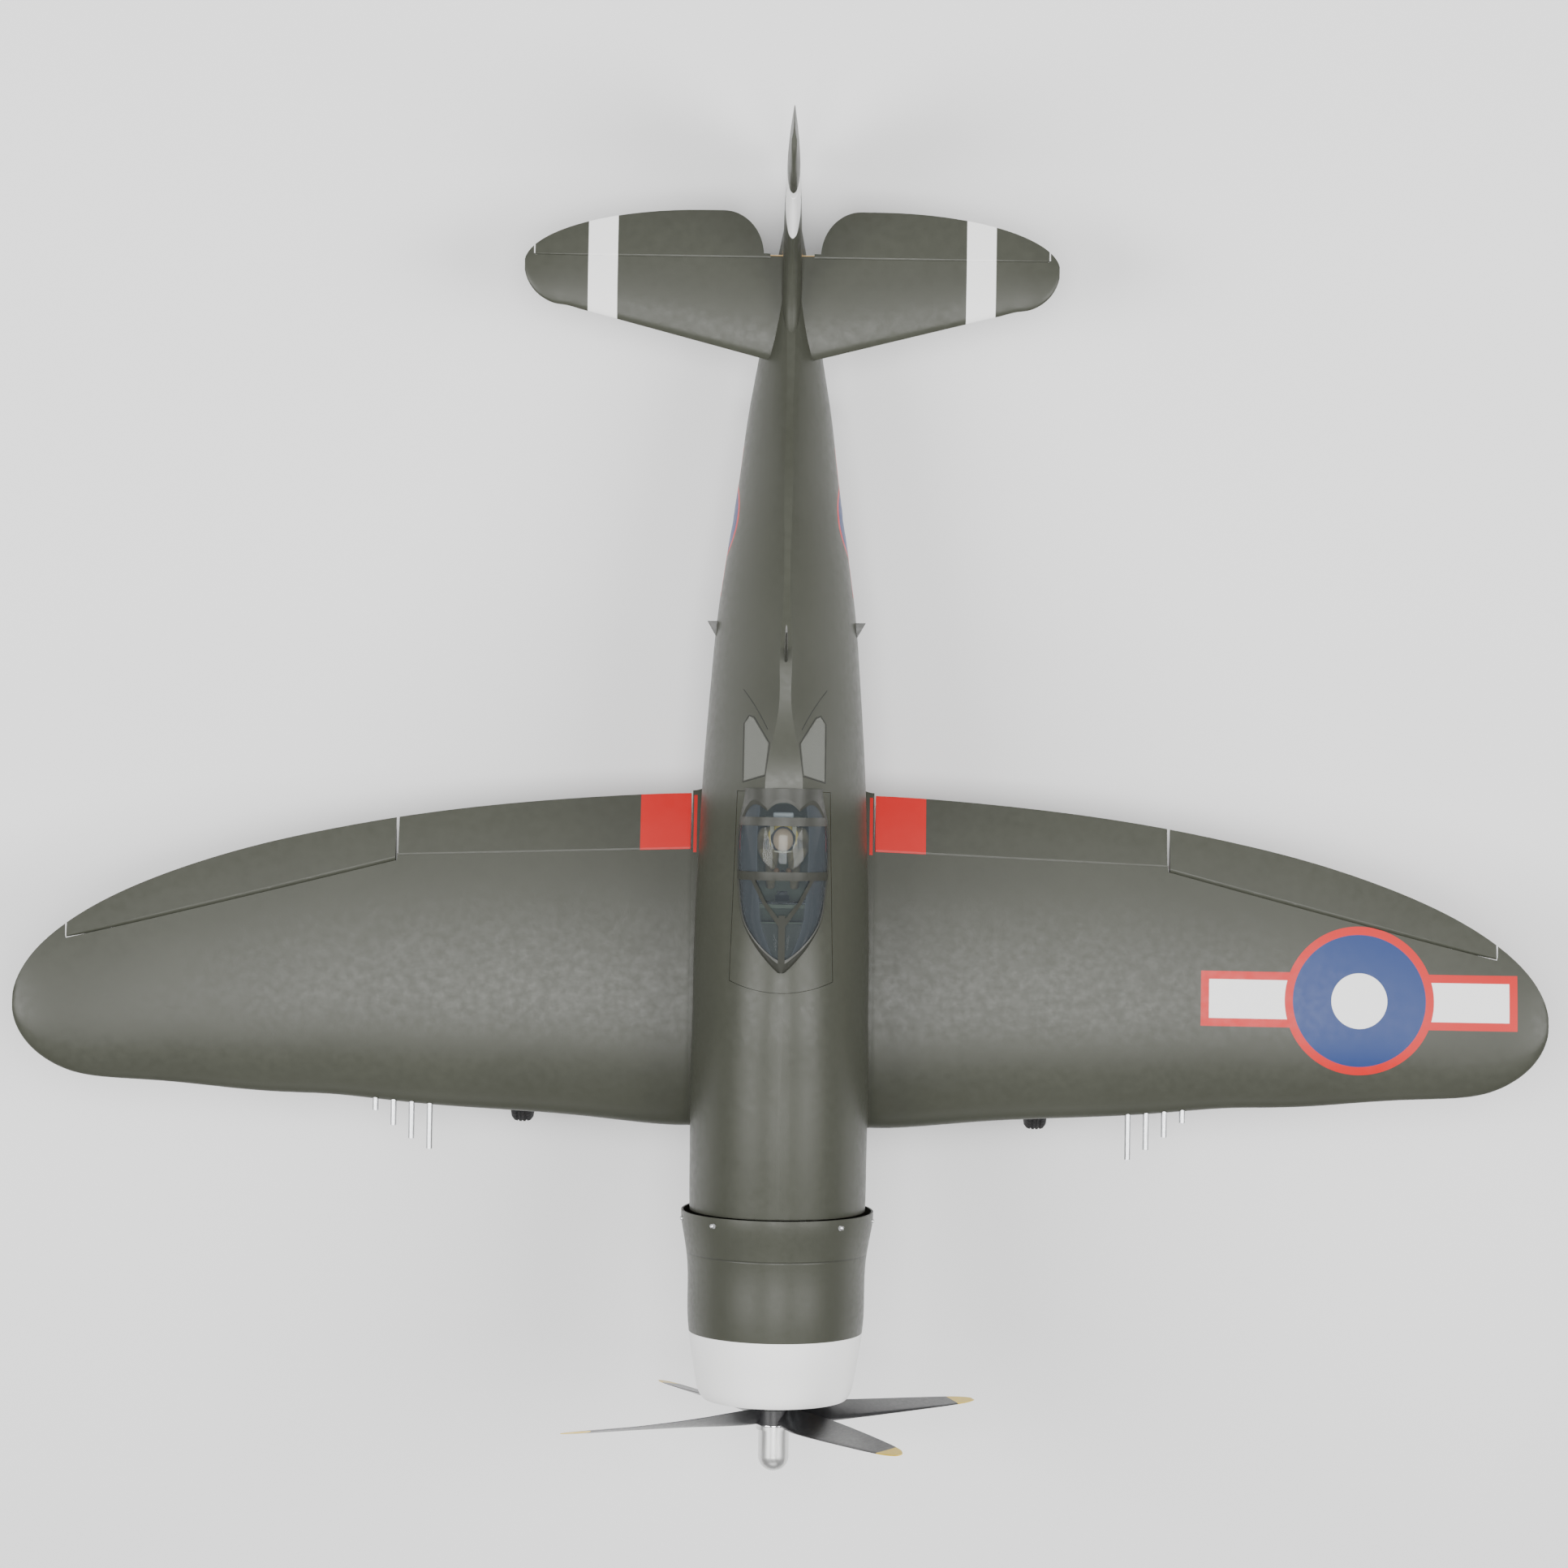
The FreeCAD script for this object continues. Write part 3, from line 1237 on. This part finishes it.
# ---------------------------------------------------------------- main gear

def make_gear():
    """Left and right main legs in the gear's own frame, then stood in place."""
    down = Placement(trunnion(), gear_down_turn())
    strut_tube = rod("strut_tube", Vector(0, 0, -8), Vector(0, 0, -d.strut_end),
                     "Dims.strut_radius")
    bore = rod("strut_bore_hole", Vector(0, 0, -30), Vector(0, 0, -d.strut_end - 1),
               "Dims.strut_bore")
    head_turn = gear_down_turn().inverted().multiply(Rotation(ALONG_Z, gear_swing().Axis))
    head = primitive("Cylinder", "strut_head", Radius=9, Height=22)
    head.Placement = Placement(head_turn.multVec(Vector(0, 0, -11)), head_turn)
    pin = primitive("Cylinder", "retract_pin", Radius=2, Height=34)
    pin.Placement = Placement(head_turn.multVec(Vector(0, 0, -17)), head_turn)
    lug = primitive("Box", "door_lug", Length="Dims.door_near", Width=7, Height=7)
    lug.Placement = Placement(Vector(0, -3.5, -40), Rotation())
    low_lug = primitive("Box", "door_low_lug", Length="Dims.door_near", Width=7, Height=7)
    low_lug.Placement = Placement(Vector(0, -3.5, -88), Rotation())
    leg = cut("strut_bored", fuse("strut_body", strut_tube, head, pin, lug, low_lug), bore)

    shaft = rod("piston_shaft", Vector(0, 0, -42), Vector(0, 0, -d.gear_length + 4),
                "Dims.piston_radius")
    foot = primitive("Box", "piston_foot", Length=10, Width=12, Height=12)
    foot.Placement = Placement(Vector(-5, -6, -d.gear_length - 6), Rotation())
    axle = rod("axle", Vector(0, 0, -d.gear_length),
               Vector(-d.wheel_inset - d.hub_half - 3, 0, -d.gear_length), "Dims.axle_radius")
    nut = rod("axle_nut", Vector(-d.wheel_inset - d.hub_half - 0.8, 0, -d.gear_length),
              Vector(-d.wheel_inset - d.hub_half - 4, 0, -d.gear_length), 5)
    piston = fuse("piston", shaft, foot, axle, nut)

    flat = Placement(Vector(d.door_near, 0, 0), Rotation(ALONG_Y, ALONG_Z, ALONG_X, "XYZ"))
    door = plate("door_panel", DOOR_OUTLINE, "Dims.door_thick", flat)

    wheel = Placement(Vector(-d.wheel_inset, 0, -d.gear_length), Rotation(ALONG_Y, 90))
    crown, wall = d.tyre_half * 0.45, d.tyre_half
    tyre = turned("tyre", (
        ("rim_radius", -9), ("rim_radius", 9), (38, wall), (46, wall), (51.5, 10),
        ("tyre_radius", crown), ("tyre_radius", -crown), (51.5, -10), (46, -wall),
        (38, -wall)), wheel)
    bore_radius = d.axle_radius + d.bearing_slack
    hub = turned("hub", (
        (bore_radius, "-hub_half"), (8, "-hub_half"), (9, -6), (26, -4), (28, -9),
        ("rim_radius", -9), ("rim_radius", 9), (28, 9), (26, 4), (9, 6), (8, "hub_half"),
        (bore_radius, "hub_half")), wheel)

    for label, piece in (("strut", leg), ("oleo_piston", piston), ("gear_door", door),
                         ("tyre", tyre), ("wheel_hub", hub)):
        stand = DOC.addObject("Part::Compound", label + "_stand")
        stand.Links = [piece]
        stand.Placement = down
        node(label + "_left", stand)
        node(label + "_right", mirrored(stand))


def make_tail_wheel():
    """Steerable tail wheel under the rear fuselage."""
    pivot = Vector(0, d.tail_pivot, 0)
    sleeve = rod("steer_sleeve", pivot + ALONG_Z * -86, pivot + ALONG_Z * -60, 6)
    bore = rod("steer_bore", pivot + ALONG_Z * -90, pivot + ALONG_Z * -50,
               "Dims.steer_radius + 0.15")
    node("tailwheel_bracket", cut("steer_housing", sleeve, bore))

    post = rod("steer_post", pivot + ALONG_Z * -94, pivot + ALONG_Z * -56, "Dims.steer_radius")
    crown = primitive("Box", "fork_crown", Length=21, Width=12, Height=4)
    crown.Placement = Placement(Vector(-10.5, d.tail_pivot - 6, -95), Rotation())
    corners = ((409, -91), (421, -91), (435, -112), (431, -118), (426, -117))
    sides = []
    for x in (-10.5, 8):
        flat = Placement(Vector(x, 0, 0), Rotation(ALONG_Y, ALONG_Z, ALONG_X, "XYZ"))
        sides.append(plate("fork_side%d" % len(sides), corners, "Dims.tub_wall + 1", flat))
    axle_reach = Vector(10, 0, 0)
    middle = Vector(0, d.tail_axle, d.tail_axle_height)
    axle = rod("tail_axle_pin", middle - axle_reach, middle + axle_reach, 1.5)
    node("tailwheel_fork", fuse("fork", post, crown, *sides, axle))

    wheel = Placement(middle, Rotation(ALONG_Y, 90))
    tyre = turned("tail_tyre_ring", (
        (1.65, "-tail_tyre_half"), (5, "-tail_tyre_half"), (13, -5), (15.6, -4.4),
        ("tail_tyre", -2), ("tail_tyre", 2), (15.6, 4.4), (13, 5), (5, "tail_tyre_half"),
        (1.65, "tail_tyre_half")), wheel)
    node("tail_wheel", tyre)


# ---------------------------------------------------------------- fittings

def make_fittings(outer, brackets):
    """Mast, air doors, hinge plates and the equipment inside."""
    def mast_section(z):
        share = (z - 120) / 88
        lead = 124 + 34 * share
        return aerofoil(lead, lead + 15 - 7 * share, 0.26, 0.0, lambda y, x: Vector(x, y, z), 6)
    mast = Part.makeLoft([mast_section(z) for z in (120, 208)], True).cut(outer)
    node("antenna_mast", free_form("mast_blade", mast))

    hood = prism([(70, 148), (87, 178), (70, 178)], -30, 12)
    hollow = prism([(70, 151), (85.4, 179), (85.4, 200), (70, 200)], -28.6, 10.6)
    left = free_form("air_door", hood.cut([hollow, outer]))
    node("intercooler_doors", left, mirrored(left))
    node("hinge_brackets", free_form("hinge_plates", Part.makeCompound(brackets)))

    cell = primitive("Box", "battery_pack", Length=50, Width=160, Height=48)
    cell.Placement = Placement(Vector(-25, -440, -56), Rotation())
    node("battery", primitive_round(cell))

    tray = primitive("Box", "tray", Length=120, Width=540, Height=3)
    tray.Placement = Placement(Vector(-60, d.firewall_station, -59), Rotation())
    receiver = primitive("Box", "receiver", Length=34, Width=48, Height=16)
    receiver.Placement = Placement(Vector(-17, 0, -56), Rotation())
    node("radio_gear", tray, receiver)
    servo = primitive("Box", "tail_servo", Length=20, Width=40, Height=38)
    servo.Placement = Placement(Vector(26, 30, -56), Rotation())
    node("tail_servos", servo, mirrored(servo))


def primitive_round(box):
    """Round the long edges of a soft-cased box."""
    rounded = DOC.addObject("Part::Fillet", box.Name + "_rounded")
    rounded.Base = box
    DOC.recompute()
    long_edges = [i for i, edge in enumerate(box.Shape.Edges, start=1) if edge.Length > 100]
    rounded.Edges = [(i, 5.0, 5.0) for i in long_edges]
    return rounded


# ---------------------------------------------------------------- whole aircraft

def ground_pitch():
    """Angle of the ground under the main and tail wheels, nose high."""
    axle = Vector(0, 0, -d.gear_length)
    main = trunnion() + gear_down_turn().multVec(axle)
    run = Vector(0, d.tail_axle - main.y, d.tail_axle_height - main.z)
    slope = math.atan2(run.z, run.y)
    return slope + math.asin((d.tyre_radius - d.tail_tyre) / run.Length)


def stand_up():
    """Place every sub-part so that the aircraft rests on the ground plane."""
    turn = Rotation(ALONG_X, -math.degrees(ground_pitch()))
    ends = Part.makeCompound([NODES[name].Shape for name in ("spinner_dome", "rudder",
                                                             "tyre_left", "tail_wheel")])
    ends.Placement = Placement(Vector(), turn)
    points = ends.tessellate(0.2)[0]
    low_y, high_y = min(v.y for v in points), max(v.y for v in points)
    low_z = min(v.z for v in points)
    stance = Placement(Vector(0, -(low_y + high_y) / 2, -low_z), turn)
    for item in NODES.values():
        item.Placement = stance
    return stance


def build():
    outer = body_loft()
    inner = body_loft(d.skin, -1)
    under_skin = body_loft(1)
    shell = outer.cut(inner)
    tail_brackets, takers = make_tail(outer)
    wing_brackets = make_wing(outer)
    wing_brackets += [shape.mirror(Vector(), ALONG_X) for shape in wing_brackets]
    make_body(shell, takers)
    make_hatch(shell)
    make_cockpit(under_skin)
    make_canopy(outer)
    make_cowl()
    make_radial()
    make_motor()
    make_propeller()
    make_wing_tube()
    make_gear()
    make_tail_wheel()
    make_fittings(outer, tail_brackets + wing_brackets)
    DOC.recompute()
    return stand_up()


def check_all():
    """Stop if any object failed or any sub-part is empty or broken."""
    for item in DOC.Objects:
        if "Invalid" in item.State or "Error" in item.State:
            raise RuntimeError("%s did not build: %s" % (item.Name, item.State))
    for label, item in NODES.items():
        shape = item.Shape
        if shape.isNull() or not shape.Solids or not shape.isValid():
            raise RuntimeError("%s has no sound shape" % label)


def write_parts():
    os.makedirs("parts", exist_ok=True)
    for label, item in NODES.items():
        item.Shape.exportStep("parts/%s.step" % label)


STANCE = build()
DOC.recompute()
check_all()
write_parts()
